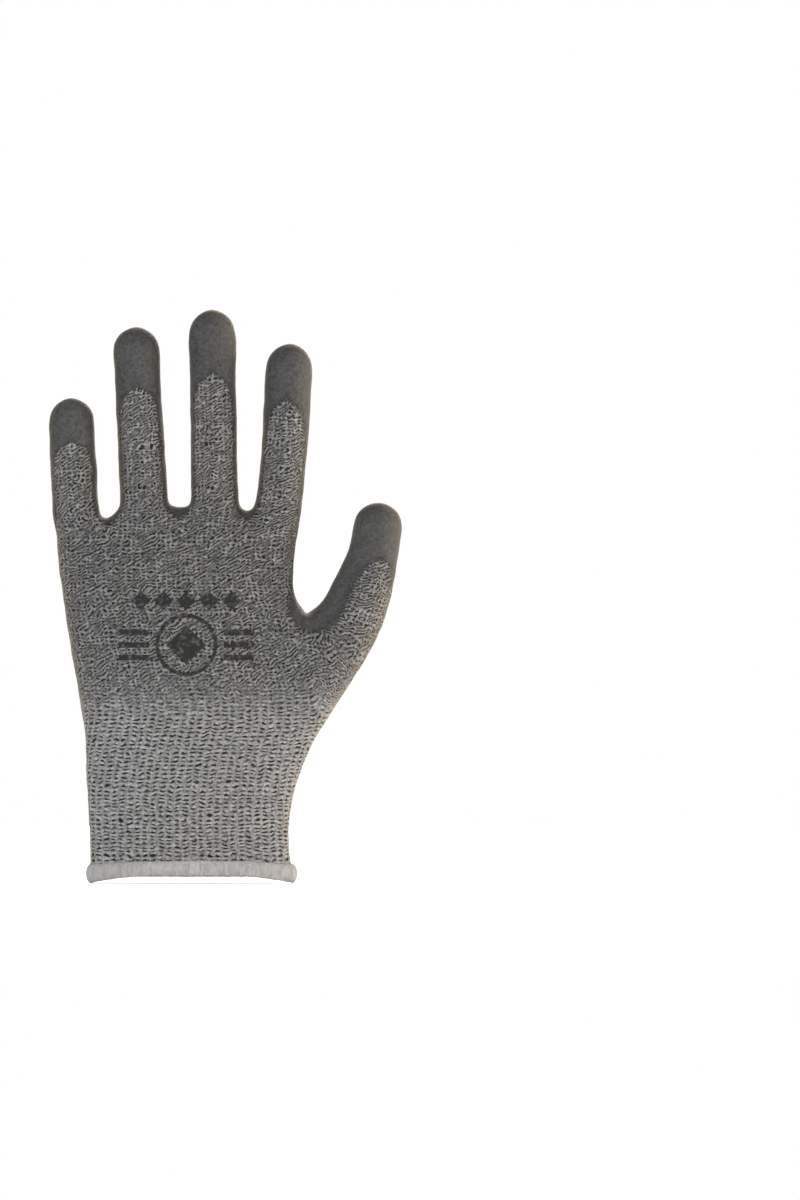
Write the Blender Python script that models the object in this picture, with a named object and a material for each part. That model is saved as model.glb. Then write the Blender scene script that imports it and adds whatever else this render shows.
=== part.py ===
"""Cut resistant work glove for the left hand: a seamless knitted liner with a dipped palm.

The glove stands fingers up on its wrist opening. +Z runs along the fingers, +X points to the
thumb side, the back of the hand faces -Y and the palm faces +Y. The origin is the middle of
the wrist opening, in the hem's lower plane. The liner is one knitted tube in the real glove.
Here it is cut at every crease: stiff sleeves between the creases, and a soft band at each.

All pieces are cut from one surface, the liner's outside. It is a net of rows: each row of the
palm has 17 points across the palm side, 3 round the thumb edge, 17 across the back and 3 round
the little finger's edge. Four of the gaps between those columns belong to each finger, so a
finger's row has 16 points, and so has the thumb's. A piece is a patch of that net, thickened.
"""
import math

import bmesh
import bpy
from mathutils import Vector

# Driving sizes, in millimetres. MM turns them into metres when a mesh is made.
MM = 0.001
GAP = 0.3            # between pieces that touch
KNIT = 1.2           # liner wall
SKIN = 0.9           # the coating's outside stands this far off the liner
PRINT = 0.7          # the badge's outside
HEM_TOP = 8.0
HEM_BULGE = 2.6
WRIST = (47.5, 62.5)         # the wrist's soft band
COATING_DIP = 9.0            # the coating's edge dips this far below the wrist band
EDGE = 0.9                   # where the palm's flat side ends, as a share of the half width
FINGER_DEPTH = 8.6           # half a finger's depth
CROTCH_COLUMNS = (-EDGE, -0.565, 0.003, 0.58, EDGE)  # where the fingers meet, same share
STEP = math.radians(22.5)    # between two points of a finger's row

# name: crotch line z, x at the crotch, x at the tip, tip z, half width, middle and tip creases
FINGERS = {
    "pinky": (152.8, -48.7, -50.4, 203.0, 8.7, 171.0, 186.5),
    "ring": (157.4, -20.0, -23.2, 232.7, 8.8, 185.5, 208.0),
    "middle": (157.4, 8.8, 8.9, 240.0, 8.9, 187.5, 213.0),
    "index": (156.2, 36.8, 40.2, 226.0, 8.7, 182.5, 203.0),
}
HALF_BANDS = {"base": 5.2, "middle": 6.2, "tip": 3.0}
SHORT_BANDS = {"base": 4.4, "middle": 5.2, "tip": 2.4}   # the little finger bends less
WEB_Z = (151.6, 156.7, 155.6)     # the bottoms of the gaps between the fingers
# z, little finger side x, thumb side x, half depth of the liner's outside
ROWS = (
    (HEM_TOP + GAP, -42.0, 41.0, 10.8), (25.0, -42.2, 41.2, 11.0), (40.0, -42.6, 43.2, 11.4),
    (WRIST[0], -42.9, 45.4, 11.6), (WRIST[0] + GAP, -42.9, 45.5, 11.6),
    (WRIST[1] - GAP, -44.0, 52.4, 11.9), (WRIST[1], -44.0, 52.5, 11.9),
    (72.0, -45.6, 57.6, 12.3), (82.0, -47.2, 56.0, 12.5), (93.0, -49.0, 52.0, 12.8),
    (104.0, -50.6, 49.0, 12.8), (112.5, -51.9, 47.2, 12.7), (126.0, -53.6, 43.0, 12.4),
    (138.0, -54.8, 42.6, 11.4), (147.5, -55.0, 43.6, 9.8),
)
THUMB_ROWS = (7, 11)         # the rows of ROWS that the thumb grows from
# x, z, half width, half depth and lean in degrees of the thumb's rows below its root band
MOUND = ((60.4, 102.6, 15.6, 13.0, 44.0), (66.0, 112.2, 14.1, 12.2, 23.0))
THUMB_ROOT, THUMB_CREASE, THUMB_TIP = (68.0, 117.0), (74.8, 137.0), (79.4, 159.0)
THUMB_HALF_BANDS = (5.0, 4.4)
ELASTIC_TURNS, ELASTIC_RADIUS, ELASTIC_Z = 5, 0.45, (13.0, 36.0)

KNIT_GREY, BAND_GREY, COAT_GREY = (0.21, 0.21, 0.215), (0.16, 0.16, 0.165), (0.085, 0.085, 0.082)
HEM_WHITE, PRINT_BLACK, ELASTIC_CREAM = (0.47, 0.47, 0.465), (0.03, 0.03, 0.032), (0.6, 0.58, 0.5)


def mix(a, b, t):
    return a + (b - a) * t


def finish(bm, name, colour, roughness):
    """Turns a bmesh in millimetres into a named object with its own material."""
    loose = [v for v in bm.verts if not v.link_faces]
    bmesh.ops.delete(bm, geom=loose, context="VERTS")
    bmesh.ops.scale(bm, vec=(MM, MM, MM), verts=bm.verts)
    bmesh.ops.recalc_face_normals(bm, faces=bm.faces)
    mesh = bpy.data.meshes.new(name)
    bm.to_mesh(mesh)
    bm.free()
    mesh.shade_smooth()
    mesh.set_sharp_from_angle(angle=math.radians(40))
    material = bpy.data.materials.new(name)
    material.use_nodes = True
    shader = material.node_tree.nodes["Principled BSDF"]
    shader.inputs["Base Color"].default_value = (*colour, 1.0)
    shader.inputs["Roughness"].default_value = roughness
    mesh.materials.append(material)
    piece = bpy.data.objects.new(name, mesh)
    bpy.context.scene.collection.objects.link(piece)


class Net:
    """The liner's outside as rows of points and labelled faces, from which pieces are cut."""

    def __init__(self):
        self.points, self.faces = [], []

    def row(self, places):
        """Adds points and returns their numbers."""
        self.points += places
        return list(range(len(self.points) - len(places), len(self.points)))

    def skin(self, low, high, label, skip=()):
        """Faces between two rows that run all the way round. A one-point row is a tip."""
        count = len(low)
        for k in range(count):
            after = (k + 1) % count
            top = [high[0]] if len(high) == 1 else [high[after], high[k]]
            if k not in skip:
                self.add([low[k], low[after], *top], label, k)

    def add(self, corners, label, k):
        """Adds a face, cut along its shorter diagonal so that every wall bends alike."""
        if len(corners) == 4:
            a, b, c, d = (self.points[i] for i in corners)
            if (b - d).length < (a - c).length:
                corners = corners[1:] + corners[:1]
            self.faces.append((corners[:3], label, k))
            corners = [corners[0], *corners[2:]]
        self.faces.append((corners, label, k))

    def normals(self):
        """Which way is out at each point, from the faces around it."""
        out = [Vector() for _ in self.points]
        for corners, _, _ in self.faces:
            a, b, c = (self.points[i] for i in (corners[0], corners[1], corners[-1]))
            square = (c - a).cross(b - a)
            if square.length > 1e-9:
                for i in corners:
                    out[i] += square.normalized()
        return [v.normalized() for v in out]

    def piece(self, name, outside, inside, colour, roughness, keep):
        """Thickens the faces that `keep` picks, from `inside` to `outside` off the net."""
        chosen = [corners for corners, label, k in self.faces if keep(label, k)]
        normals = self.normals()
        used = sorted({i for corners in chosen for i in corners})
        bm = bmesh.new()
        outer = {i: bm.verts.new(self.points[i] + normals[i] * outside) for i in used}
        inner = {i: bm.verts.new(self.points[i] + normals[i] * inside) for i in used}
        edges = set()
        for corners in chosen:
            bm.faces.new([outer[i] for i in corners])
            bm.faces.new([inner[i] for i in reversed(corners)])
            edges.update(zip(corners, corners[1:] + corners[:1]))
        for a, b in edges:
            if (b, a) not in edges:
                bm.faces.new((outer[b], outer[a], inner[a], inner[b]))
        finish(bm, name, colour, roughness)


def palm_row(net, number):
    """One level of the palm or cuff: its palm side, thumb edge, back and other edge."""
    z, left, right, deep = ROWS[number]
    centre, half = (left + right) / 2, (right - left) / 2
    columns = []
    for a, b in zip(CROTCH_COLUMNS, CROTCH_COLUMNS[1:]):
        columns += [mix(a, b, k / 4) for k in range(4)]
    columns.append(EDGE)
    by_thumb = THUMB_ROWS[0] <= number <= THUMB_ROWS[1]
    dips = z == ROWS[2][0]

    def place(u, side):
        depth = deep * (1 - abs(u) ** 2.6) ** (1 / 2.6)
        if by_thumb and u > 0.6:
            depth = max(depth, deep * 0.93)
        if number == len(ROWS) - 1:
            depth = deep * (1 - abs(u) ** 6) ** (1 / 6)
        lift = COATING_DIP * abs(u / EDGE) ** 2.4 - 1.5 if dips and side > 0 else 0.0
        return Vector((centre + half * u, side * depth, min(z + lift, WRIST[0] - 0.8) if dips else z))

    def edge(sign, reach):
        """The three points round one edge, from the palm side to the back."""
        x = centre + half * sign
        y = reach * 0.6
        return [Vector((x - sign * 0.5, y, z)), Vector((x, 0, z)), Vector((x - sign * 0.5, -y, z))]

    palm = [place(u, 1) for u in columns]
    back = [place(u, -1) for u in reversed(columns)]
    thumb_edge = edge(1, palm[-1].y)
    other_edge = list(reversed(edge(-1, palm[0].y)))
    return net.row(palm + thumb_edge + back + other_edge)


def stall_row(net, centre, along, wide, deep):
    """Sixteen points round a finger or the thumb, square to `along`."""
    across = Vector((along.z, 0.0, -along.x)).normalized()
    places = []
    for k in range(16):
        angle = math.radians(135) - STEP * k
        places.append(centre + across * wide * math.cos(angle)
                      + Vector((0.0, deep * math.sin(angle), 0.0)))
    return net.row(places)


def grow(net, low, stations):
    """Adds one row of a finger or thumb for each (centre, along, wide, deep, label)."""
    for centre, along, wide, deep, label in stations:
        high = stall_row(net, centre, along, wide, deep)
        net.skin(low, high, label)
        low = high
    return low


def round_tip(net, low, root, tip, wide, deep, label):
    """Closes a finger over a half ball of radius `wide`."""
    along = (tip - root).normalized()
    for degrees in (0, 30, 55, 75):
        c, s = math.cos(math.radians(degrees)), math.sin(math.radians(degrees))
        low = grow(net, low, [(tip - along * wide * (1 - s), along, wide * c, deep * c, label)])
    net.skin(low, net.row([tip]), label)


def finger_stations(name):
    """Sleeves and soft bands in turn, each band with a small gap at both ends."""
    root_z, root_x, tip_x, tip_z, wide, middle, tip_crease = FINGERS[name]
    root, tip = Vector((root_x, 0, root_z)), Vector((tip_x, 0, tip_z - SKIN))
    along = (tip - root).normalized()
    halves = SHORT_BANDS if name == "pinky" else HALF_BANDS
    parts = []
    for part, below, centre in (("base", "hand_root", halves["base"]),
                                ("middle", f"{name}_base", (middle - root_z) / along.z),
                                ("tip", f"{name}_middle", (tip_crease - root_z) / along.z)):
        low, high = centre - halves[part], centre + halves[part]
        parts += [(low, below), (low + GAP, "gap"), (high - GAP, f"{name}_{part}_band"),
                  (high, "gap")]
    stations = []
    for s, label in parts:
        flare = 0.5 * (1 - s / (tip - root).length)
        stations.append((root + along * s, along, wide + flare, FINGER_DEPTH + flare / 2, label))
    return root, tip, stations


def thumb_stations():
    """The mound, the root band, the lower sleeve and the knuckle band."""
    root, crease, tip = (Vector((x, 0.0, z)) for x, z in (THUMB_ROOT, THUMB_CREASE, THUMB_TIP))
    lower, upper = (crease - root).normalized(), (tip - crease).normalized()
    stations = []
    for x, z, wide, deep, lean in MOUND:
        along = Vector((math.sin(math.radians(lean)), 0, math.cos(math.radians(lean))))
        stations.append((Vector((x, 0, z)), along, wide, deep, "hand_root"))
    base, knuckle = THUMB_HALF_BANDS
    for s, wide, deep, label in (
        (-base, 13.3, 11.4, "hand_root"), (GAP - base, 13.2, 11.3, "gap"),
        (base - GAP, 12.0, 10.4, "thumb_base_band"), (base, 12.0, 10.4, "gap"),
        ((crease - root).length - knuckle, 10.7, 9.4, "thumb_base"),
    ):
        stations.append((root + lower * s, lower, wide, deep, label))
    stations.append((crease + lower * (GAP - knuckle), lower, 10.6, 9.4, "gap"))
    for s, wide, deep, label in (
        (knuckle - GAP, 10.0, 9.1, "thumb_tip_band"), (knuckle, 10.0, 9.1, "gap"),
    ):
        stations.append((crease + upper * s, upper, wide, deep, label))
    return crease, tip, stations


def build_net():
    """The whole liner: cuff, palm, four fingers and the thumb."""
    net = Net()
    rows = [palm_row(net, k) for k in range(len(ROWS))]
    hole = range(16, 20)
    for k, (low, high) in enumerate(zip(rows, rows[1:])):
        top, label = ROWS[k + 1][0], f"hand_{k}"
        if top <= WRIST[0]:
            label = f"cuff_{k}"
        elif top in (WRIST[0] + GAP, WRIST[1]):
            label = "gap"
        elif top == WRIST[1] - GAP:
            label = "wrist_band"
        net.skin(low, high, label, hole if THUMB_ROWS[0] <= k < THUMB_ROWS[1] else ())

    top = rows[-1]
    palm, edge_in, back, edge_out = top[:17], top[17:20], top[20:37], top[37:]
    webs = [list(reversed(edge_out))]
    for number, z in enumerate(WEB_Z):
        corner = net.points[palm[4 * number + 4]]
        webs.append(net.row([
            Vector((corner.x, y, z - abs(y) * 0.22)) for y in (corner.y * 0.62, 0.0, -corner.y * 0.62)
        ]))
    webs.append(edge_in)
    for number, name in enumerate(FINGERS):
        start, stop = 4 * number, 4 * number + 4
        first = palm[start:stop + 1] + webs[number + 1] + back[16 - stop:17 - start]
        first += list(reversed(webs[number]))
        root, tip, stations = finger_stations(name)
        last = grow(net, first, stations)
        round_tip(net, last, root, tip, FINGERS[name][4], FINGER_DEPTH, f"{name}_tip")

    low, high = THUMB_ROWS
    first = [rows[k][16] for k in range(high, low - 1, -1)] + rows[low][17:20]
    first += [rows[k][20] for k in range(low, high + 1)] + list(reversed(rows[high][17:20]))
    crease, tip, stations = thumb_stations()
    last = grow(net, first, stations)
    round_tip(net, last, crease, tip, 9.3, 8.8, "thumb_tip")
    return net


def coated(label, k):
    """The dip covers the palm side, the sides of the fingers and all of each tip."""
    if label.startswith("hand_") and label != "hand_root":
        return k <= 17 or k >= 38
    return label == "hand_root" and (k <= 3 or k >= 12 or k in (4, 5))


def make_liner_and_coating(net):
    """Every sleeve of the liner, every soft band, and the coating on top of them."""
    net.piece("cuff_knit", 0, -KNIT, KNIT_GREY, 0.95, lambda label, k: label.startswith("cuff"))
    net.piece("wrist_band", 0, -KNIT, BAND_GREY, 0.95, lambda label, k: label == "wrist_band")
    net.piece("hand_knit", 0, -KNIT, KNIT_GREY, 0.95, lambda label, k: label.startswith("hand"))
    net.piece("palm_coating", SKIN, GAP, COAT_GREY, 0.6, coated)
    net.piece("wrist_coating", SKIN, GAP, COAT_GREY, 0.6,
              lambda label, k: label == "cuff_2" and 2 <= k <= 13)
    net.piece("back_print", PRINT, GAP, PRINT_BLACK, 0.7,
              lambda label, k: label in ("hand_8", "hand_9", "hand_10") and 24 <= k <= 31)
    for digit in (*FINGERS, "thumb"):
        for part in ("base", "middle", "tip"):
            sleeve, band = f"{digit}_{part}", f"{digit}_{part}_band"
            if (digit, part) == ("thumb", "middle"):
                continue
            bare = range(8, 12) if part != "tip" else ()
            net.piece(band, 0, -KNIT, BAND_GREY, 0.95, lambda label, k: label == band)
            net.piece(f"{sleeve}_knit", 0, -KNIT, KNIT_GREY, 0.95, lambda label, k: label == sleeve)
            net.piece(f"{sleeve}_coating", SKIN, GAP, COAT_GREY, 0.6,
                      lambda label, k: label == sleeve and k not in bare)


def cuff_row(z, out):
    """Forty points round the cuff at height z, `out` mm off the liner's outside."""
    _, left, right, deep = ROWS[0]
    places = []
    for k in range(40):
        angle = 2 * math.pi * k / 40
        c, s = math.cos(angle), math.sin(angle)
        x = math.copysign(abs(c) ** 0.77, c) * ((right - left) / 2 + out)
        y = math.copysign(abs(s) ** 0.77, s) * (deep + out)
        places.append(Vector(((left + right) / 2 + x, y, z)))
    return places


def make_hem():
    """The overlocked edge: a fat thread bead round the end of the cuff."""
    bm = bmesh.new()
    rows = [(0.0, 0.9), (1.6, 2.1), (4.0, HEM_BULGE), (6.4, 2.1), (HEM_TOP, 0.9)]
    rows += [(z, -KNIT - out * 0.7) for z, out in reversed(rows)]
    loops = [[bm.verts.new(p) for p in cuff_row(z, out)] for z, out in rows]
    for low, high in zip(loops, loops[1:] + loops[:1]):
        for k in range(40):
            after = (k + 1) % 40
            bm.faces.new((low[k], low[after], high[after], high[k]))
    finish(bm, "cuff_hem", HEM_WHITE, 0.9)


def make_elastic():
    """A rubber-cored yarn laid round the inside of the cuff, one turn after another."""
    steps, sides = ELASTIC_TURNS * 40, 4
    path = []
    for k in range(steps + 1):
        z = mix(*ELASTIC_Z, k / steps)
        path.append(cuff_row(z, -KNIT - GAP - 2 * ELASTIC_RADIUS)[k % 40])
    bm = bmesh.new()
    loops = []
    for k, point in enumerate(path):
        along = (path[min(k + 1, steps)] - path[max(k - 1, 0)]).normalized()
        side = along.cross(Vector((0, 0, 1))).normalized()
        up = side.cross(along)
        angles = [2 * math.pi * j / sides for j in range(sides)]
        loops.append([
            bm.verts.new(point + (side * math.cos(a) + up * math.sin(a)) * ELASTIC_RADIUS)
            for a in angles
        ])
    for low, high in zip(loops, loops[1:]):
        for j in range(sides):
            after = (j + 1) % sides
            bm.faces.new((low[j], low[after], high[after], high[j]))
    bm.faces.new(loops[0])
    bm.faces.new(loops[-1])
    finish(bm, "cuff_elastic", ELASTIC_CREAM, 0.5)


for old in list(bpy.data.objects):
    bpy.data.objects.remove(old)
make_liner_and_coating(build_net())
make_hem()
make_elastic()
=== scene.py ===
"""The looks of a left-hand cut resistant work glove: knitted liner, dipped palm, bound cuff."""
import math

import bmesh
import bpy
from mathutils import Matrix, Vector, noise
from mathutils.bvhtree import BVHTree


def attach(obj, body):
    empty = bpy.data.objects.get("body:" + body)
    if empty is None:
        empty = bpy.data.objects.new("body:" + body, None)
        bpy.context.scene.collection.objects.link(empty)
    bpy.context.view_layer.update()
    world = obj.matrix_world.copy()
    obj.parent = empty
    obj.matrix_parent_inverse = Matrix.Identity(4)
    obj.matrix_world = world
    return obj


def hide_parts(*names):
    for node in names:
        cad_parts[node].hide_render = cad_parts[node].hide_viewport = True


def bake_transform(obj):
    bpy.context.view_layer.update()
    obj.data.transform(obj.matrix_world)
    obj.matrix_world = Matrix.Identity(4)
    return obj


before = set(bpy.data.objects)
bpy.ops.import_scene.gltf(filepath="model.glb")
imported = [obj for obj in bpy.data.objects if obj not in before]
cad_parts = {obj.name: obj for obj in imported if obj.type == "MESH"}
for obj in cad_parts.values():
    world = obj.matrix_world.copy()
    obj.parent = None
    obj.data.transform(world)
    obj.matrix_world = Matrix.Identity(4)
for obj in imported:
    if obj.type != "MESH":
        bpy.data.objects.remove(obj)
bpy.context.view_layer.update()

# ---------------------------------------------------------------------------------------------
# Stage. A pale floor under the wrist opening, even white light all round, one soft lamp on each
# side of the glove and a warm one on the thumb's side. The camera looks straight at the back of
# the hand with a long lens, and the glove stands in the left half of the picture.
floor_mesh = bmesh.new()
bmesh.ops.create_circle(floor_mesh, cap_ends=True, segments=96, radius=0.9)
floor = bpy.data.objects.new("floor", bpy.data.meshes.new("floor"))
floor_mesh.to_mesh(floor.data)
floor_mesh.free()
bpy.context.scene.collection.objects.link(floor)
floor_paint = bpy.data.materials.new("pale floor")
floor_paint.use_nodes = True
floor_sockets = floor_paint.node_tree.nodes["Principled BSDF"].inputs
floor_sockets["Base Color"].default_value = (0.9, 0.9, 0.9, 1)
floor_sockets["Roughness"].default_value = 0.9
floor_sockets["Emission Color"].default_value = (1, 1, 1, 1)
floor_sockets["Emission Strength"].default_value = 0.5
floor.data.materials.append(floor_paint)

world = bpy.data.worlds.new("studio")
world.use_nodes = True
sky = world.node_tree
sky.nodes["Background"].inputs["Color"].default_value = (1, 1, 1, 1)
seen_or_felt = sky.nodes.new("ShaderNodeMapRange")      # white to the camera, dimmer as a light
seen_or_felt.inputs["To Min"].default_value = 0.42
seen_or_felt.inputs["To Max"].default_value = 1.0
sky.links.new(sky.nodes.new("ShaderNodeLightPath").outputs["Is Camera Ray"], seen_or_felt.inputs["Value"])
sky.links.new(seen_or_felt.outputs["Result"], sky.nodes["Background"].inputs["Strength"])
bpy.context.scene.world = world
bpy.context.scene.view_settings.view_transform = "Standard"

for lamp_name, place, power, tint in (
    ("back_lamp", (-0.25, -1.2, 0.6), 16.5, (1, 1, 1)),
    ("palm_lamp", (0.25, 1.2, 0.6), 16.5, (1, 1, 1)),
    ("warm_lamp", (1.25, 0.02, 0.3), 28, (1.0, 0.84, 0.66)),
):
    lamp = bpy.data.lights.new(lamp_name, "AREA")
    lamp.size, lamp.energy, lamp.color = 0.7, power, tint
    lamp_object = bpy.data.objects.new(lamp_name, lamp)
    lamp_object.location = place
    glove_middle = Vector((0, 0, 0.12))
    aim = glove_middle - lamp_object.location
    lamp_object.rotation_euler = aim.to_track_quat("-Z", "Y").to_euler()
    bpy.context.scene.collection.objects.link(lamp_object)

camera_data = bpy.data.cameras.new("camera")
camera_data.lens, camera_data.sensor_fit, camera_data.sensor_height = 250, "VERTICAL", 36
view_height, view_centre = 0.5035, Vector((0.0878, 0.0, 0.1188))
camera_distance = view_height * camera_data.lens / camera_data.sensor_height
camera = bpy.data.objects.new("camera", camera_data)
camera.location = view_centre - Vector((0, camera_distance, 0))
camera.rotation_euler = (math.radians(90), 0, 0)
camera_data.clip_end = 20
bpy.context.scene.collection.objects.link(camera)
bpy.context.scene.camera = camera

# ---------------------------------------------------------------------------------------------
# Liner. The glove is knitted in one piece without a seam: a tube for the cuff and the hand,
# which divides into four finger stalls, with the thumb growing out of the side. It is shaped
# here as a coarse net, row by row upwards, which a subdivision then rounds off.
MM = 0.001                             # the liner's sizes are in mm
# height, little finger side, thumb side, half depth
rows = (
    (3.0, -42.6, 42.8, 11.0), (12.0, -42.0, 41.3, 11.3), (26.0, -43.0, 41.4, 11.8),
    (38.0, -43.4, 43.4, 12.2), (47.0, -43.8, 46.0, 12.4), (55.0, -44.4, 49.6, 12.5),
    (63.0, -44.4, 53.9, 12.8), (72.0, -45.5, 59.5, 13.0), (82.0, -47.1, 57.1, 13.2),
    (93.0, -49.1, 52.6, 13.6), (104.0, -51.0, 49.6, 13.6), (112.5, -52.4, 48.0, 13.5),
    (121.0, -53.7, 42.2, 13.2), (130.0, -54.9, 42.9, 12.6), (139.0, -55.8, 43.3, 11.6),
    (147.5, -56.2, 44.8, 10.2),
)
thumb_from, thumb_to = 7, 11           # the rows between which the thumb leaves the side
flat_edge = 0.9                        # where the flat of the palm ends, of the half width
meeting = (-flat_edge, -0.565, 0.003, 0.58, flat_edge)   # where the fingers meet
web_heights = (151.8, 156.7, 154.6)    # the bottoms of the gaps between the fingers
finger_steps, edge_points = 4, 3       # of a row: under each finger, and round an edge
side_points = 4 * finger_steps + 1     # over the palm, and as many over the back
last_palm = side_points - 1
back_from = side_points + edge_points
far_edge_from = back_from + side_points
row_points = far_edge_from + edge_points
# name: first row z, x there, x and z of the tip, half width, creases
fingers = {
    "pinky": (152.6, -48.2, -50.4, 203.0, 9.25, (157.2, 171.0, 186.5)),
    "ring": (157.2, -19.5, -23.4, 232.7, 9.35, (162.6, 185.5, 208.0)),
    "middle": (157.0, 10.1, 8.9, 240.0, 9.4, (162.6, 187.5, 213.0)),
    "index": (155.6, 37.6, 41.9, 226.0, 9.35, (161.4, 182.5, 203.0)),
}
finger_depth = 9.5                     # half of it
swell = 1.026                          # subdivision pulls a ring of 16 in by this much
cuff_top, wrist_top = 38.0, 72.0       # heights at which the cloth is divided
zones = ["cuff", "wrist", "hand"]
for digit in fingers:
    zones += [f"{digit}_root", f"{digit}_middle", f"{digit}_tip"]
zones += ["thumb_root", "thumb_tip"]

net = bmesh.new()
around = net.verts.layers.float.new("around")     # width over the cloth from the middle, mm
along = net.verts.layers.float.new("along")       # height up the cloth, mm
dip = net.verts.layers.float.new("dip")           # how far inside the dip's edge, mm


def palm_places(number):
    """The points of one row: over the palm, round the thumb's edge, over the back, and round."""
    z, left, right, deep = rows[number]
    centre, half = (left + right) / 2, (right - left) / 2
    shares = [a + (b - a) * k / finger_steps
              for a, b in zip(meeting, meeting[1:]) for k in range(finger_steps)]
    shares.append(flat_edge)
    power = 5.0 if number == len(rows) - 1 else 2.7      # how boxy the row is
    side = []
    for u in shares:
        depth = deep * (1 - abs(u) ** power) ** (1 / power)
        if thumb_from <= number <= thumb_to and u > 0.6:
            depth = max(depth, deep * 0.94)
        side.append((centre + half * u, depth))
    turn = [(0.985, 0.5), (1.0, 0.0), (0.985, -0.5)]
    palm = [Vector((x, y, z)) for x, y in side]
    back = [Vector((x, -y, z)) for x, y in reversed(side)]
    thumb_edge = [Vector((centre + half * a, side[-1][1] * b * 1.25, z)) for a, b in turn]
    other_edge = [Vector((centre - half * a, -side[0][1] * b * 1.25, z)) for a, b in turn]
    return palm + thumb_edge + back + other_edge


def measure(row, middle_palm, middle_back, start, height):
    """Writes each point's place on the cloth: measured both ways from the middle of each side."""
    count = len(row)
    for middle in (middle_palm, middle_back):
        for step in (1, -1):
            sign = step if middle == middle_palm else -step
            far, k = 0.0, middle
            row[k][around] = start
            for _ in range(count // 4 + (2 if count == row_points else 0)):
                after = (k + step) % count
                far += (row[after].co - row[k].co).length
                row[after][around] = start + sign * far
                k = after
    for v in row:
        v[along] = height


def raise_row(row, places, zone):
    """Extrudes a closed row of points and sets the new row down at its places."""
    edges = [net.edges.get((a, b)) for a, b in zip(row, row[1:] + row[:1])]
    made = bmesh.ops.extrude_edge_only(net, edges=edges)["geom"]
    fresh = {v for v in made if isinstance(v, bmesh.types.BMVert)}
    new_row = [next(e.other_vert(v) for e in v.link_edges if e.other_vert(v) in fresh) for v in row]
    for v, place in zip(new_row, places):
        v.co = place
    for face in made:
        if isinstance(face, bmesh.types.BMFace):
            face.material_index = zones.index(zone)
    return new_row


def zone_at(z):
    """The stretch of the tube that a row's faces belong to."""
    return "cuff" if z <= cuff_top else "wrist" if z <= wrist_top else "hand"


level = bmesh.ops.create_circle(net, segments=row_points, radius=30)["verts"]
for v, place in zip(level, palm_places(0)):
    v.co = place
levels = [level]
for number in range(1, len(rows)):
    levels.append(raise_row(levels[-1], palm_places(number), zone_at(rows[number][0])))
middle_point = side_points // 2
thumb_edge_dip = [4.0, 0.5, -3.5]
row_dip = [10.0] * side_points + thumb_edge_dip + [-10.0] * side_points + thumb_edge_dip[::-1]
for number, level in enumerate(levels):
    measure(level, middle_point, back_from + middle_point, 0.0, rows[number][0])
    for v, inside in zip(level, row_dip):
        v[dip] = inside

thumb_side = {v for level in levels[thumb_from:thumb_to + 1] for v in level[last_palm:back_from + 1]}
hole = [f for f in net.faces if all(v in thumb_side for v in f.verts)]
bmesh.ops.delete(net, geom=hole, context="FACES")

top = levels[-1]
palm_top, back_top = top[:side_points], top[back_from:far_edge_from]
webs = [list(reversed(top[far_edge_from:]))]
for number, height in enumerate(web_heights):
    place = finger_steps * (number + 1)
    front, rear = palm_top[place], back_top[last_palm - place]
    chain, v = [], front
    for _ in range(3):
        made = bmesh.ops.extrude_vert_indiv(net, verts=[v])["verts"]
        v = made[0]
        chain.append(v)
    net.edges.new((v, rear))
    for v, share in zip(chain, (0.62, 0.0, -0.62)):
        v.co = Vector((front.co.x, front.co.y * share, height + 0.9 - abs(front.co.y * share) * 0.2))
        v[around], v[along] = front[around], height
        v[dip] = 5.0
    # On the back the dip's edge comes close to the bottom of each gap, so dark foam shows there: partly
    # the foam's real wrap, partly painted shade standing for the shade in the gap.
    front[dip], rear[dip] = 10.0, -0.6
    webs.append(chain)
webs.append(top[side_points:back_from])


def stall_places(centre, lean, wide, deep):
    """Sixteen points round a finger, starting at its palm side's inner corner."""
    places = []
    for k in range(16):
        angle = math.radians(135 - 22.5 * k)
        across = Vector((lean.z, 0, -lean.x)) * wide * math.cos(angle)
        places.append(centre + across + Vector((0, deep * math.sin(angle), 0)))
    return places


def round_tip(row, root, tip, wide, deep, start, zone):
    """Takes a finger's last row over its round end and closes it."""
    lean = (tip - root).normalized()
    for degrees in (0, 25, 48, 68):
        c, s = math.cos(math.radians(degrees)), math.sin(math.radians(degrees))
        centre = tip - lean * wide * (1 - s)
        row = raise_row(row, stall_places(centre, lean, wide * c * swell, deep * c * swell), zone)
        measure(row, middle_palm, middle_back, start, tip.z - wide + wide * math.radians(degrees))
        for v in row:
            v[dip] = 8.0
    cap = bmesh.ops.contextual_create(net, geom=row)["faces"]
    for face in bmesh.ops.poke(net, faces=cap)["faces"]:
        face.material_index = zones.index(zone)
        for v in face.verts:
            if v not in row:
                v.co = tip + lean * 0.3
                v[around], v[along], v[dip] = start, tip.z + wide * 0.57, 8.0


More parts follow.
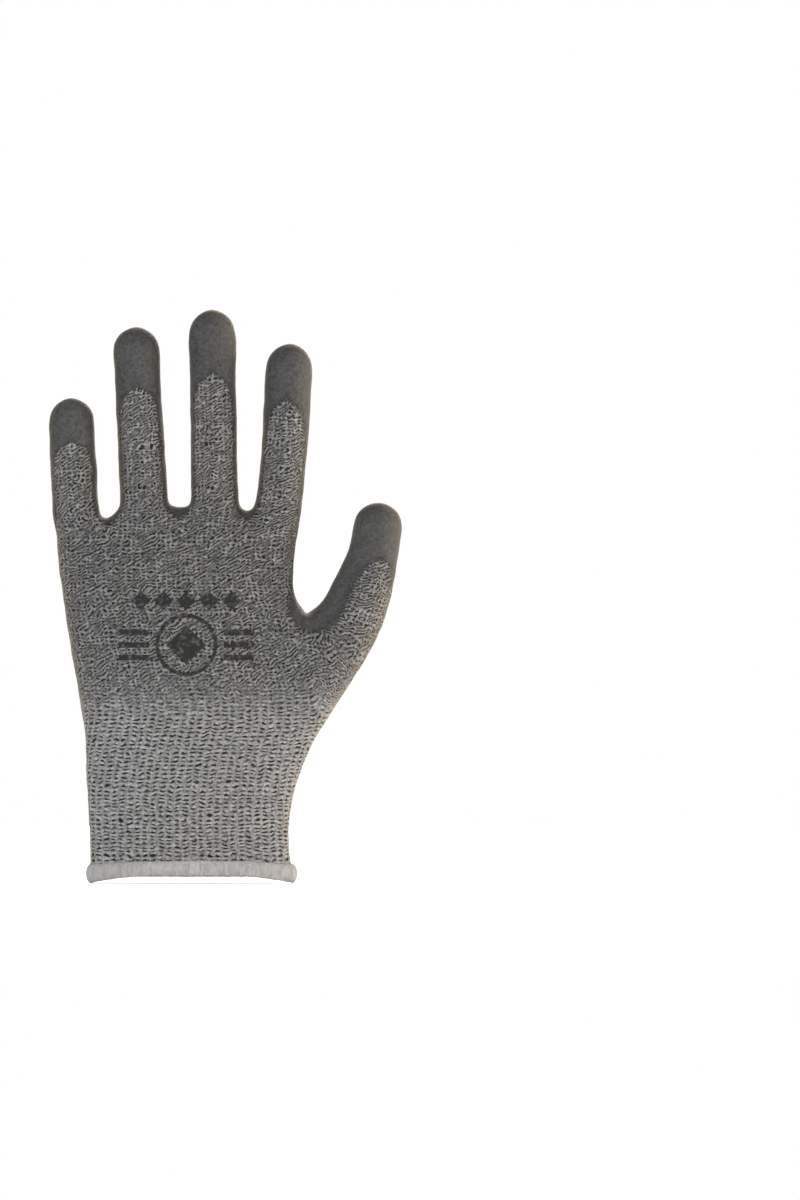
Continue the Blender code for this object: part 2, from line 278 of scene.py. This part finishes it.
middle_palm, middle_back = 2, 10       # of a finger's ring of 16 points
finger_dip = [9, 12, 14, 12, 9, 7, 5, 2.5, 0, -3.7, -7.4, -3.7, 0, 2.5, 5, 7]
finger_start = {}                      # each digit's middle, across the cloth
for number, (digit, size) in enumerate(fingers.items()):
    low_z, low_x, tip_x, tip_z, wide, creases = size
    start_k = finger_steps * number
    stop_k = start_k + finger_steps
    row = palm_top[start_k:stop_k + 1] + webs[number + 1]
    row += back_top[last_palm - stop_k:side_points - start_k]
    row += list(reversed(webs[number]))
    middle_u = row[middle_back][around]
    finger_start[digit] = middle_u
    root, tip = Vector((low_x, 0, low_z)), Vector((tip_x, 0, tip_z))
    lean = (tip - root).normalized()
    base, middle, last = creases
    cut_one, cut_two = (base + middle) / 2 + 1.0, (middle + last) / 2 + 1.5
    stations = [(low_z + 0.6, "root"), (base, "root"), (base + 4.0, "root"), (cut_one, "root"),
                (middle - 3.0, "middle"), (middle, "middle"), (middle + 3.0, "middle"),
                (cut_two, "middle"), (last - 2.0, "tip"), (last + 1.5, "tip")]
    if tip_z - last > 22:
        stations.append(((last + tip_z - wide) / 2, "tip"))
    for z, part in stations:
        flare = 0.55 * max(0.0, 1 - (z - low_z) / 9.0)
        pinch = 0.6 * max(0.0, 1 - (z - low_z) / 12.0) if digit == "index" else 0.0
        inward = {"pinky": flare, "index": -flare - pinch}.get(digit, 0.0)
        centre = root + lean * ((z - low_z) / lean.z) + Vector((inward, 0, 0))
        places = stall_places(centre, lean, (wide + flare - pinch) * swell, finger_depth * swell)
        row = raise_row(row, places, f"{digit}_{part}")
        measure(row, middle_palm, middle_back, middle_u, z)
        for v, inside in zip(row, finger_dip):
            v[dip] = inside
    round_tip(row, root, tip, wide, finger_depth, middle_u, f"{digit}_tip")

# x, z, half width, half depth and lean in degrees of each row of the thumb
thumb_rows = (
    (60.6, 102.1, 15.5, 13.6, 43, "hand"), (66.5, 110.9, 13.3, 12.8, 25, "thumb_root"),
    (69.4, 117.2, 12.8, 12.0, 20, "thumb_root"), (72.4, 124.5, 11.9, 11.0, 18, "thumb_root"),
    (74.2, 130.2, 11.2, 10.3, 16, "thumb_root"), (75.6, 134.2, 10.7, 10.0, 15, "thumb_tip"),
    (76.4, 137.4, 10.4, 9.8, 14, "thumb_tip"), (77.3, 141.5, 10.1, 9.6, 12, "thumb_tip"),
)
thumb_dip = [9, 12, 12, 10, 8, 5, 1, -3, -6, -5, -1.5, 2.5, 6, 8, 8, 8]
row = [levels[k][last_palm] for k in range(thumb_to, thumb_from - 1, -1)]
row += levels[thumb_from][side_points:back_from]
row += [levels[k][back_from] for k in range(thumb_from, thumb_to + 1)]
row += list(reversed(levels[thumb_to][side_points:back_from]))
# the dip in the thumb's crotch: row, point, how far inside
for number, column, inside in ((11, 17, 7), (11, 18, 6), (11, 19, 5), (11, 20, 3.5), (11, 21, -3),
                               (10, 20, 0), (12, 18, 5), (12, 19, 2.5), (12, 20, -1), (13, 18, 3),
                               (13, 19, -1), (14, 18, 2)):
    levels[number][column][dip] = inside
thumb_u = 62.0                         # its middle, across the cloth
finger_start["thumb"] = thumb_u
for x, z, wide, deep, degrees, zone in thumb_rows:
    lean = Vector((math.sin(math.radians(degrees)), 0, math.cos(math.radians(degrees))))
    row = raise_row(row, stall_places(Vector((x, 0, z)), lean, wide * swell, deep * swell), zone)
    measure(row, middle_palm, middle_back, thumb_u, z * 1.08 - 8)
    for v, inside in zip(row, thumb_dip):
        v[dip] = inside
thumb_bend, thumb_tip = Vector((76.3, 0, 137.0)), Vector((80.4, 0, 159.0))
round_tip(row, thumb_bend, thumb_tip, 9.8, finger_depth, thumb_u, "thumb_tip")


def make_piece(mesh, name):
    """Brings a mesh drawn in millimetres into the scene under its name."""
    bmesh.ops.scale(mesh, vec=(MM, MM, MM), verts=mesh.verts)
    made = bpy.data.objects.new(name, bpy.data.meshes.new(name))
    mesh.to_mesh(made.data)
    mesh.free()
    bpy.context.scene.collection.objects.link(made)
    return made


def by_corners(element):
    """Ranks an edge or a face by its points, so that each run has them in the same order."""
    corners = sorted(v.index for v in element.verts)
    return (corners[0] * len(net.verts) + corners[1]) * len(net.verts) + corners[-1]


net.verts.sort(key=lambda v: v.co.z * 1e6 + v.co.x * 1e3 + v.co.y)
net.verts.index_update()
net.edges.sort(key=by_corners)
net.faces.sort(key=by_corners)
bmesh.ops.recalc_face_normals(net, faces=net.faces)
whole = make_piece(net, "whole")
for zone in zones:
    whole.data.materials.append(bpy.data.materials.new(zone))
smooth = whole.modifiers.new("smooth", "SUBSURF")
smooth.levels = smooth.render_levels = 3
whole_mesh = bpy.data.meshes.new_from_object(
    whole.evaluated_get(bpy.context.evaluated_depsgraph_get()))
bpy.data.objects.remove(whole)

# ---------------------------------------------------------------------------------------------
# Dip. The knitted glove is drawn over a former and dipped, palm down, in dark polymer foam. The
# foam ends in a curve over the wrist and wraps every finger, up to an arch on its back. The
# coated cloth stands a little proud of the bare knit, whose loops stand out as ribs and pits.

# of each digit: height of the arch, how far below it the bare cloth narrows, half width, shift
arches = {
    "pinky": (184.0, 9.0, 7.4, 0.0), "ring": (207.0, 11.0, 7.4, 0.0),
    "middle": (212.5, 11.0, 7.4, 0.0), "index": (201.6, 15.0, 7.4, 0.0),
    "thumb": (134.8, 11.0, 6.4, 4.2),
}
thumb_mound = 36.7                     # how far right of its middle the palm ends


def wrist_edge(x):
    """Height of the foam's edge on the palm: low in the middle, higher at the sides."""
    reach = x - 5
    if reach > thumb_mound:
        return 53 + (reach - thumb_mound) * 1.35
    if reach < 0:
        return 41 + 17 * (-reach / 48) ** 5
    return 41 + 12 * (reach / thumb_mound) ** 5


whole_mesh.update()
coat = whole_mesh.attributes["dip"].data
across_cloth, up_cloth = whole_mesh.attributes["around"].data, whole_mesh.attributes["along"].data
point_zone = [0] * len(whole_mesh.vertices)
for face in whole_mesh.polygons:
    for v in face.vertices:
        point_zone[v] = max(point_zone[v], face.material_index)
way_out = [n.vector.copy() for n in whole_mesh.vertex_normals]
dipped = []
for v in whole_mesh.vertices:
    inside = coat[v.index].value
    zone = zones[point_zone[v.index]]
    x, _, z = v.co / MM
    u, height = across_cloth[v.index].value, up_cloth[v.index].value
    digit = zone.split("_")[0]
    if zone in ("cuff", "wrist", "hand"):
        inside = min(inside, z - wrist_edge(x))
    else:
        arch, rise, half_bare, shift = arches[digit]
        level = z if digit == "thumb" else height
        share = min(1.0, max(0.0, (level - arch + rise) / rise))
        bare = half_bare * math.sqrt(1 - share * share)
        far = abs(u - finger_start[digit] - shift)
        if share > 0:
            inside = max(inside, far - bare + max(0.0, level - arch))
    dipped.append(inside)
for name in ("way", "rest"):
    whole_mesh.attributes.new(name, "FLOAT_VECTOR", "POINT")
coat, rest = whole_mesh.attributes["dip"].data, whole_mesh.attributes["rest"].data
across_cloth, up_cloth = whole_mesh.attributes["around"].data, whole_mesh.attributes["along"].data
way = whole_mesh.attributes["way"].data
loop_wide, loop_tall = 3.35, 1.74      # of the cuff's rib
groove_gap, groove_slope = 1.55, 0.56  # of the hand's jersey
foam_thick = 0.35
for v, inside in zip(whole_mesh.vertices, dipped):
    k, place = v.index, v.co / MM
    body = min(1.0, max(0.0, 0.5 + inside / 1.6))
    sway = noise.noise(place * 0.055) * 0.5 + noise.noise(place * 0.17) * 0.2
    u = across_cloth[k].value + noise.noise(place * 0.3) * 0.9
    height = up_cloth[k].value + noise.noise(place * 0.3 + Vector((7, 7, 7))) * 1.1
    column, course = u / loop_wide % 1.0 - 0.5, height / loop_tall % 1.0 - 0.5
    rib = 0.1 - 0.3 * math.exp(-(column * loop_wide / 1.2) ** 2 - (course * loop_tall / 0.6) ** 2)
    jersey = 0.09 * math.cos((height - u * groove_slope) / groove_gap * 2 * math.pi + math.pi)
    share = min(1.0, max(0.0, (place.z - 70) / 12))
    relief = (rib + (jersey - rib) * share) * (1 - 0.75 * body)
    v.co += way_out[k] * MM * (foam_thick * body + sway + relief)
    coat[k].value, across_cloth[k].value, up_cloth[k].value = inside, u, height
    rest[k].vector = v.co
whole_mesh.update()
for v, normal in zip(whole_mesh.vertices, whole_mesh.vertex_normals):
    way[v.index].vector = normal.vector

# ---------------------------------------------------------------------------------------------
# Surface. All the liner's pieces share one finish: melange yarn where the cloth is bare, dark
# foam where it was dipped. Yarn of light and dark fibres is knitted in jersey on the hand and in
# rib on the cuff. The foam soaks into the stitches at its edge, so the cloth shows there.


class Wire:
    """A socket that can be used in sums."""

    def __init__(self, tree, socket):
        self.tree, self.socket = tree, socket

    def node(self, kind, values=(), out=0, **settings):
        made = self.tree.nodes.new(kind)
        for key, value in settings.items():
            setattr(made, key, value)
        for key, value in (values.items() if isinstance(values, dict) else enumerate(values)):
            if isinstance(value, Wire):
                self.tree.links.new(value.socket, made.inputs[key])
            elif value is not None:
                made.inputs[key].default_value = value
        return Wire(self.tree, made.outputs[out])

    def maths(self, operation, *others):
        return self.node("ShaderNodeMath", (self, *others), operation=operation)

    def __add__(self, other):
        return self.maths("ADD", other)

    def __sub__(self, other):
        return self.maths("SUBTRACT", other)

    def __rsub__(self, other):
        return self.node("ShaderNodeMath", (other, self), operation="SUBTRACT")

    def __mul__(self, other):
        return self.maths("MULTIPLY", other)

    def __truediv__(self, other):
        return self.maths("DIVIDE", other)

    __radd__, __rmul__ = __add__, __mul__

    def step(self, low, high):
        """0 below low, 1 above high, smooth between."""
        return self.node("ShaderNodeMapRange", [self, low, high, 0.0, 1.0],
                         interpolation_type="SMOOTHSTEP")


def start_material(name):
    """A new material, its shader, and an empty wire from which its nodes are made."""
    material = bpy.data.materials.new(name)
    material.use_nodes = True
    shader = material.node_tree.nodes["Principled BSDF"]
    return material, shader, Wire(material.node_tree, None)


def grey(light, warm=0.0):
    return (light * (1 + warm), light, light * (1 - warm), 1)


def glove_cloth():
    """The finish of every liner piece. The places are those of the cloth at rest."""
    yarn_dark, yarn_light, foam_tone = grey(0.008, -0.02), grey(0.265, -0.005), 0.0415
    material, shader, w = start_material("knit and dip")
    place = w.node("ShaderNodeAttribute", out=1, attribute_name="rest")
    u = w.node("ShaderNodeAttribute", out=2, attribute_name="around")
    v = w.node("ShaderNodeAttribute", out=2, attribute_name="along")
    inside = w.node("ShaderNodeAttribute", out=2, attribute_name="dip")
    fine = w.node("ShaderNodeTexNoise", {"Vector": place, "Scale": 900.0, "Detail": 2.0})
    patches = w.node("ShaderNodeTexNoise", {"Vector": place, "Scale": 330.0, "Detail": 1.0})
    wobble = (fine - 0.5) * 1.3

    def pits(wide, tall, deep_wide, deep_tall):
        """Dark gaps between the loops, one to a cell, each a little different."""
        column = (u + wobble * 1.6) / wide
        course = (v + wobble * 0.8) / tall
        cell = w.node("ShaderNodeCombineXYZ", [column.maths("FLOOR"), course.maths("FLOOR")])
        tone = w.node("ShaderNodeTexWhiteNoise", {"Vector": cell}, noise_dimensions="2D")
        across = (column.maths("FRACT") - 0.5) * (wide / deep_wide)
        up = (course.maths("FRACT") - 0.5) * (tall / deep_tall)
        far = across * across + up * up
        return (1.0 - far.step(0.3, 1.6)) * (0.74 + tone * 0.36), column

    # Jersey of the hand: yarn lies in slanted runs with dark grooves between, and in places
    # the grooves give way to rows of small pits.
    slant = (v + wobble * 1.2 - u * groove_slope) / groove_gap
    line, part = slant.maths("FLOOR"), slant.maths("FRACT")
    shift = w.node("ShaderNodeTexWhiteNoise", {"W": line}, noise_dimensions="1D")
    run = (u + wobble) / 2.6 + shift * 7.0
    cell = w.node("ShaderNodeCombineXYZ", [line, run.maths("FLOOR")])
    tone = w.node("ShaderNodeTexWhiteNoise", {"Vector": cell}, noise_dimensions="2D")
    bulge = (part * math.pi).maths("SINE")
    groove = (1.0 - bulge.step(0.25, 0.85)) * (0.42 + tone.step(0.1, 0.6) * 0.75)
    pit = pits(2.1, 1.6, 0.8, 0.52)[0]
    turn = patches.step(0.47, 0.53)
    jersey_height = 1.0 - (groove + turn * (pit - groove))
    jersey_tone = jersey_height * (0.13 + fine.step(0.3, 0.7) * 0.36 + tone * 0.3)

    # Rib of the cuff: wandering columns of loops with a dark hole in each, some of them shut.
    open_hole, column = pits(loop_wide, loop_tall, 1.25, 0.4)
    aside = (column.maths("FRACT") - 0.5).maths("ABSOLUTE")
    rib_height = 1.0 - open_hole - aside.step(0.42, 0.5) * fine.step(0.35, 0.65) * 0.4
    rib_tone = rib_height * (0.36 + fine.step(0.3, 0.7) * 0.6)

    # The rib gives way to jersey above the wrist, and the knit over the hand, below the fingers, is
    # painted darker as shade.
    jersey = (v + wobble * 5.0).step(66.0, 90.0)
    tone_all = w.node("ShaderNodeMix", {"Factor": jersey, "A": rib_tone, "B": jersey_tone},
                      data_type="FLOAT")
    knit_height = w.node("ShaderNodeMix", {"Factor": jersey, "A": rib_height, "B": jersey_height},
                         data_type="FLOAT")
    painted_hand_shade = v.step(70.0, 120.0) * (1.0 - v.step(150.0, 166.0))
    tone_all = tone_all * (0.86 + patches.step(0.35, 0.65) * 0.2) * (1.0 - painted_hand_shade * 0.12)
    knit_colour = w.node("ShaderNodeValToRGB", [tone_all])
    ramp = knit_colour.socket.node.color_ramp
    ramp.elements[0].color, ramp.elements[1].color = yarn_dark, yarn_light

    # The dip: foam with a faint grain. It is thin at its edge and over the rib of the wrist.
    patch = w.node("ShaderNodeTexNoise", {"Vector": place, "Scale": 60.0, "Detail": 4.0})
    speck = w.node("ShaderNodeTexNoise",
                   {"Vector": place, "Scale": 620.0, "Detail": 4.0, "Roughness": 0.7})
    ragged = inside - 0.5 + (fine - 0.5) * 5.5 + (0.6 - knit_height) * 1.8
    mask = ragged.step(-0.35, 0.55)
    thin = 1.0 - inside.step(0.2, 5.5)
    wrist_thin = (1.0 - v.step(74.0, 84.0)) * 0.65 + (1.0 - v.step(84.0, 112.0)) * 0.3
    show = (thin * 0.7 + wrist_thin + 0.2).maths("MINIMUM", 0.95)
    foam_light = foam_tone + (patch - 0.5) * 0.022 + (speck - 0.5) * 0.09
    low = 1.0 - v.step(50.0, 112.0)
    band = v.step(73.0, 75.5) * (1.0 - v.step(80.0, 87.0))
    lines = (v * 3.5).maths("SINE").step(0.0, 1.0) * band
    foam_light = foam_light * (1.04 - low * 0.12) * (1.0 - lines * 0.35)
    foam_light = foam_light * (1.0 - show * (1.0 - knit_height) * 0.65)
    # Painted light: the foam is made a little paler in the middle of the palm, where the light falls
    # most.
    place_xyz = w.node("ShaderNodeSeparateXYZ", [place])
    px, py, pz = (Wire(w.tree, place_xyz.socket.node.outputs[k]) for k in range(3))
    hollow_x, hollow_z = px * 21.0 + 0.1, pz * 21.0 - 2.4
    far = hollow_x * hollow_x + hollow_z * hollow_z
    painted_palm_light = (1.0 - far.step(0.0, 1.6)) * py.step(0.0, 0.006)
    foam_light = foam_light * (1.0 - thin * 0.36) * (1.0 + painted_palm_light * 0.55)
    foam_colour = w.node("ShaderNodeCombineColor", [foam_light * 0.995, foam_light, foam_light])
    colour = w.node("ShaderNodeMix", {"Factor": mask, "A": knit_colour, "B": foam_colour},
                    data_type="RGBA", out=2)
    rough = 0.95 - mask * 0.22 + (speck - 0.5) * 0.2
    foam_height = show * knit_height * 0.5 + speck * 0.5 + 0.35
    height = w.node("ShaderNodeMix", {"Factor": mask, "A": knit_height, "B": foam_height},
                    data_type="FLOAT")
    bump = w.node("ShaderNodeBump", {"Height": height, "Distance": 0.0005, "Strength": 0.85})
    w.tree.links.new(colour.socket, shader.inputs["Base Color"])
    w.tree.links.new(rough.socket, shader.inputs["Roughness"])
    w.tree.links.new(bump.socket, shader.inputs["Normal"])
    shader.inputs["Sheen Weight"].default_value = 0.35
    shader.inputs["Sheen Roughness"].default_value = 0.3
    shader.inputs["Sheen Tint"].default_value = (1.0, 0.8, 0.55, 1)
    shader.inputs["Specular IOR Level"].default_value = 0.2
    return material


cloth = glove_cloth()

# ---------------------------------------------------------------------------------------------
# Cuff. The knitted tube over the wrist, in rib, drawn in by its elastic. Like every stretch of
# the liner, it is cut from the one surface, and its wall has the thickness of the cloth.
cloth_thick = 1.3
bare_inside = -10.0                    # the dip never reaches the cloth's inner side


def cut_piece(zone, name):
    """One stretch of the glove as a closed wall, shaded as if it had never been cut out."""
    mesh = bmesh.new()
    mesh.from_mesh(whole_mesh)
    number = zones.index(zone)
    others = [f for f in mesh.faces if f.material_index != number]
    bmesh.ops.delete(mesh, geom=others, context="FACES")
    for f in mesh.faces:
        f.material_index = 0
        f.smooth = True
    piece = bpy.data.objects.new(name, bpy.data.meshes.new(name))
    mesh.to_mesh(piece.data)
    mesh.free()
    outer_faces, outer_points = len(piece.data.polygons), len(piece.data.vertices)
    bpy.context.scene.collection.objects.link(piece)
    wall = piece.modifiers.new("wall", "SOLIDIFY")
    wall.thickness, wall.offset, wall.use_rim = cloth_thick * MM, -1.0, True
    made = bpy.data.meshes.new_from_object(
        piece.evaluated_get(bpy.context.evaluated_depsgraph_get()))
    piece.modifiers.clear()
    piece.data = made
    made.name = name
    for v in range(outer_points, len(made.vertices)):
        made.attributes["dip"].data[v].value = bare_inside
    normals = [Vector()] * len(made.loops)
    ways = made.attributes["way"].data
    for face in made.polygons[:outer_faces]:
        for loop in face.loop_indices:
            normals[loop] = ways[made.loops[loop].vertex_index].vector.copy()
    made.normals_split_custom_set(normals)
    made.materials.clear()
    made.materials.append(cloth)
    return piece


cuff = cut_piece("cuff", "cuff")
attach(cuff, "cuff")
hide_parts("cuff_knit")

# ---------------------------------------------------------------------------------------------
# Wrist. The stretch of the same tube between cuff and hand, with the coating's lower end on its palm
# side.
wrist = cut_piece("wrist", "wrist")
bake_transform(wrist)
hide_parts("wrist_band", "wrist_coating")

# ---------------------------------------------------------------------------------------------
# Hand. The tube over palm and back, in jersey: bare and grey behind, dipped in front, with the
# gaps between the fingers and the thumb's mound knitted in.
hand = cut_piece("hand", "hand")
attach(hand, "hand")
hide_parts("hand_knit", "palm_coating")

# ---------------------------------------------------------------------------------------------
# Fingers. Four stalls knitted on to the hand, each closed at its tip and dipped all round there.
# Each is divided halfway between its creases.
half_bands = {"pinky": (4.4, 5.2, 2.4), "others": (5.2, 6.2, 3.0)}


def bend_digit_piece(digit, part, joint_part, centre, lean, half):
    """Cuts one stretch of a finger or thumb."""
    piece = cut_piece(f"{digit}_{part}", f"{digit}_{part}_cloth")
    (centre - lean * half) * MM
    (centre + lean * half) * MM
    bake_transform(piece)
    name = f"{digit}_{joint_part}"
    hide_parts(f"{name}_band", f"{name}_knit", f"{name}_coating")


for digit, size in fingers.items():
    low_z, low_x, tip_x, tip_z, wide, creases = size
    root = Vector((low_x, 0, low_z))
    lean = (Vector((tip_x, 0, tip_z)) - root).normalized()
    halves = half_bands.get(digit, half_bands["others"])
    parent = "hand"
    for part, joint_part, crease, half in zip(
            ("root", "middle", "tip"), ("base", "middle", "tip"), creases, halves):
        child = f"{digit}_{joint_part}"
        centre = root + lean * ((crease - low_z) / lean.z)
        bend_digit_piece(digit, part, joint_part, centre, lean, half)
        parent = child

# ---------------------------------------------------------------------------------------------
# Thumb. A fifth stall that leaves the hand's side at a slant and stands nearly upright. It is divided
# into a root and a tip stretch, and its dip reaches down into the crotch beside the palm.
for part, joint_part, parent, centre, lean_degrees, half in (
    ("root", "base", "hand", Vector((68, 0, 117)), 18.8, 5.0),
    ("tip", "tip", "thumb_base", Vector((74.8, 0, 137)), 15.4, 4.4),
):
    slant = math.radians(lean_degrees)
    lean = Vector((math.sin(slant), 0, math.cos(slant)))
    bend_digit_piece("thumb", part, joint_part, centre, lean, half)

# ---------------------------------------------------------------------------------------------
# Hem. The cuff's raw edge is oversewn all round with a pale bulky thread, which makes a soft
# round bead. It is widest at the two side folds and draws up a little between them.
hem_wraps, hem_round = 236, 16         # turns of thread, and points round the bead
hem_middle, hem_wide, hem_deep, hem_boxy = 0.4, 42.3, 10.9, 2.6
bead_deep, bead_tall, thread_relief = 1.95, 3.25, 0.12


def oval(c, s, half_wide, half_deep, boxy):
    """A point of the opening's outline, from the cosine and sine of its turn."""
    return (half_wide * math.copysign(abs(c) ** (2 / boxy), c),
            half_deep * math.copysign(abs(s) ** (2 / boxy), s))


hem = bmesh.new()
bmesh.ops.create_grid(hem, x_segments=4 * hem_wraps, y_segments=hem_round, size=1)
for v in hem.verts:
    turn, wrap_angle = v.co.x * math.pi, v.co.y * math.pi
    c, s = math.cos(turn), math.sin(turn)
    x, y = oval(c, s, hem_wide, hem_deep, hem_boxy)
    side = min(1.0, abs(x) / hem_wide)
    outward = Vector((math.copysign(abs(c) ** 1.23 / hem_wide, c),
                      math.copysign(abs(s) ** 1.23 / hem_deep, s), 0))
    outward.normalize()
    lump = noise.noise(Vector((c * 9, s * 9, 3)))
    thread = math.cos(v.co.x * hem_wraps * math.pi) * thread_relief
    deep = bead_deep + thread + 0.12 * lump
    tall = bead_tall + 0.65 * side ** 4 + thread + 0.15 * lump
    z = 4.1 + 2.5 * (1 - side ** 3) + 0.25 * noise.noise(Vector((c * 3, s * 3, 9)))
    v.co = Vector((hem_middle + x, y, z)) + outward * deep * math.cos(wrap_angle)
    v.co.z += tall * math.sin(wrap_angle)
bmesh.ops.remove_doubles(hem, verts=hem.verts, dist=0.002)
bmesh.ops.recalc_face_normals(hem, faces=hem.faces)
for face in hem.faces:
    face.smooth = True
hem_piece = make_piece(hem, "hem_thread")
thread_paint, shader, w = start_material("bulky thread")
place = w.node("ShaderNodeTexCoord", out=3)
fuzz = w.node("ShaderNodeTexNoise", {"Vector": place, "Scale": 1300.0, "Detail": 3.0})
shade = w.node("ShaderNodeTexNoise", {"Vector": place, "Scale": 190.0, "Detail": 2.0})
upright = w.node("ShaderNodeVectorMath", [place, (1.0, 1.0, 0.14)], operation="MULTIPLY")
stroke = w.node("ShaderNodeTexNoise", {"Vector": upright, "Scale": 900.0, "Detail": 3.0})
pale = 0.252 + (fuzz - 0.5) * 0.12 + (shade - 0.5) * 0.1 + (stroke - 0.5) * 0.2
pale = w.node("ShaderNodeCombineColor", [pale * 1.01, pale, pale * 0.985])
fuzz_bump = w.node("ShaderNodeBump",
                   {"Height": fuzz + stroke, "Distance": 0.0003, "Strength": 0.8})
w.tree.links.new(pale.socket, shader.inputs["Base Color"])
w.tree.links.new(fuzz_bump.socket, shader.inputs["Normal"])
shader.inputs["Roughness"].default_value = 0.95
shader.inputs["Specular IOR Level"].default_value = 0.2
hem_piece.data.materials.append(thread_paint)
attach(hem_piece, "cuff")
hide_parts("cuff_hem")

# ---------------------------------------------------------------------------------------------
# Elastic. Rubber-cored yarn is laid in round the inside of the cuff, course after course, and
# draws it in at the wrist. It only shows inside the opening.
courses, first_course, course_gap, elastic_radius = 10, 13.2, 2.5, 0.35
elastic_middle, elastic_wide, elastic_deep, elastic_boxy = -0.4, 40.0, 9.3, 2.7
elastic = bmesh.new()
for course in range(courses):
    before = set(elastic.verts)
    bmesh.ops.create_grid(elastic, x_segments=120, y_segments=8, size=1)
    ring = [v for v in elastic.verts if v not in before]
    for v in ring:
        turn, wrap_angle = v.co.x * math.pi, v.co.y * math.pi
        c, s = math.cos(turn), math.sin(turn)
        x, y = oval(c, s, elastic_wide, elastic_deep, elastic_boxy)
        v.co = Vector((elastic_middle + x, y, first_course + course * course_gap))
        v.co += Vector((c, s, 0)) * elastic_radius * math.cos(wrap_angle)
        v.co.z += elastic_radius * math.sin(wrap_angle)
    bmesh.ops.remove_doubles(elastic, verts=ring, dist=0.002)
bmesh.ops.recalc_face_normals(elastic, faces=elastic.faces)
for face in elastic.faces:
    face.smooth = True
elastic_piece = make_piece(elastic, "elastic_yarn")
elastic_paint, shader, w = start_material("elastic yarn")
shader.inputs["Base Color"].default_value = grey(0.22)
shader.inputs["Roughness"].default_value = 0.7
elastic_piece.data.materials.append(elastic_paint)
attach(elastic_piece, "cuff")
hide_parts("cuff_elastic")

# ---------------------------------------------------------------------------------------------
# Print. A plain emblem in black ink on the back of the hand: a ring with a lozenge in it, bars
# to both sides and a row of small lozenges above. The ink lies in the knit, so the yarn shows.
emblem_x, emblem_z = -1.5, 100.0       # the middle of the ring
ring_radius, ring_line, lozenge_radius = 13.0, 1.5, 8.2
bar_away, bar_gap, bar_half_diagonal, bar_stretch = 22.0, 5.2, 1.6, 5.6
small_radius, small_gap, small_above = 4.0, 9.5, 18.5
ink_proud, film_thick = 0.12, 0.2
in_front = -60.0                       # where the shapes start, before the hand's back
smooth_surface = BVHTree.FromPolygons([v.co for v in whole_mesh.vertices],
                                      [tuple(f.vertices) for f in whole_mesh.polygons])
ink = bmesh.new()


def ink_shape(corners, radius, centre_x, centre_z, hollow=0.0, wide=1.0, turned=0.0):
    """A flat shape with so many corners, as a rim when it is hollow, as a full patch if not."""
    made = bmesh.ops.create_circle(ink, cap_ends=True, segments=corners, radius=radius)["verts"]
    spin = Matrix.Rotation(math.radians(turned), 4, "Z")
    bmesh.ops.transform(ink, matrix=Matrix.Diagonal((wide, 1, 1, 1)) @ spin, verts=made)
    face = list(made[0].link_faces)
    if hollow:
        rim = bmesh.ops.inset_region(ink, faces=face, thickness=hollow, use_boundary=True,
                                     use_even_offset=True)["faces"]
        bmesh.ops.delete(ink, geom=face, context="FACES_ONLY")
        made = list({v for f in rim for v in f.verts})
    for v in made:
        v.co = Vector((v.co.x + centre_x, in_front, v.co.y + centre_z))


ink_shape(48, ring_radius, emblem_x, emblem_z, hollow=ring_line)
ink_shape(4, lozenge_radius, emblem_x, emblem_z)
for side in (-1, 1):
    for k in (-1, 0, 1):
        ink_shape(4, bar_half_diagonal, emblem_x + side * bar_away, emblem_z + k * bar_gap,
                  wide=bar_stretch, turned=45)
for k in (-2, -1, 0, 1, 2):
    ink_shape(4, small_radius, emblem_x + k * small_gap, emblem_z + small_above)
bmesh.ops.triangulate(ink, faces=ink.faces)
for _ in range(3):
    long_edges = [e for e in ink.edges if e.calc_length() > 1.6]
    bmesh.ops.subdivide_edges(ink, edges=long_edges, cuts=1)
    bmesh.ops.triangulate(ink, faces=ink.faces)
for v in ink.verts:
    hit = smooth_surface.ray_cast(v.co * MM, Vector((0, 1, 0)))[0]
    v.co = hit / MM - Vector((0, ink_proud, 0))
bmesh.ops.recalc_face_normals(ink, faces=ink.faces)
for face in ink.faces:
    if face.normal.y > 0:
        face.normal_flip()
print_piece = make_piece(ink, "ink_emblem")
film = print_piece.modifiers.new("film", "SOLIDIFY")
film.thickness, film.offset = film_thick * MM, -1.0
ink_paint, shader, w = start_material("ink")
place = w.node("ShaderNodeTexCoord", out=3)
grain = w.node("ShaderNodeTexNoise", {"Vector": place, "Scale": 620.0, "Detail": 2.0})
ink_light = grain.step(0.47, 0.72) * 0.04 + 0.002
ink_colour = w.node("ShaderNodeCombineColor", [ink_light, ink_light, ink_light])
ink_bump = w.node("ShaderNodeBump", {"Height": grain, "Distance": 0.0004, "Strength": 0.8})
w.tree.links.new(ink_colour.socket, shader.inputs["Base Color"])
w.tree.links.new(ink_bump.socket, shader.inputs["Normal"])
shader.inputs["Roughness"].default_value = 0.9
print_piece.data.materials.append(ink_paint)
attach(print_piece, "hand")
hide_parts("back_print")
